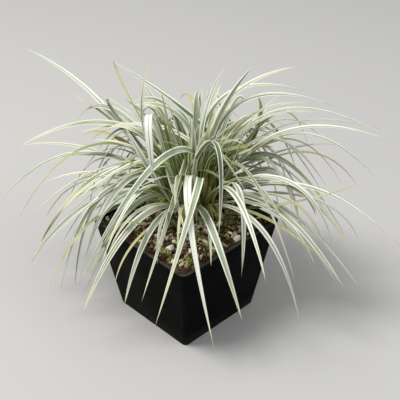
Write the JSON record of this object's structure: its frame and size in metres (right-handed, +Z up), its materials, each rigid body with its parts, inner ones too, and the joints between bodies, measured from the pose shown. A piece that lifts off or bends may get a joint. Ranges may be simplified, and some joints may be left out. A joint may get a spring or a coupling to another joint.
{
  "type": "potted mondo grass",
  "caption": "Variegated clump of arching, strap-like blades growing in soil in a square, tapered nursery pot that stands on its flat base.",
  "frame": {"origin": "centre of the pot's base, in the plane it stands on", "axes": "+Z up, +X and +Y along the pot's sides; the pot's corner between +X and -Y faces the picture's viewer"},
  "size_m": [0.286, 0.2136, 0.182],
  "materials": {
    "pot_plastic": "matt black, moulded, lightly scuffed",
    "soil": "rough potting mix of peat and bark with moss and white grit",
    "leaf": "satin leaf, white margins and a grey-green middle"
  },
  "bodies": {
    "root": {"pot": "pot_plastic", "soil": "soil", "tuft_right": "leaf", "tuft_back_right": "leaf", "tuft_back": "leaf", "tuft_back_left": "leaf", "tuft_left": "leaf", "tuft_front_left": "leaf", "tuft_front": "leaf", "tuft_front_right": "leaf"}
  },
  "joints": []
}
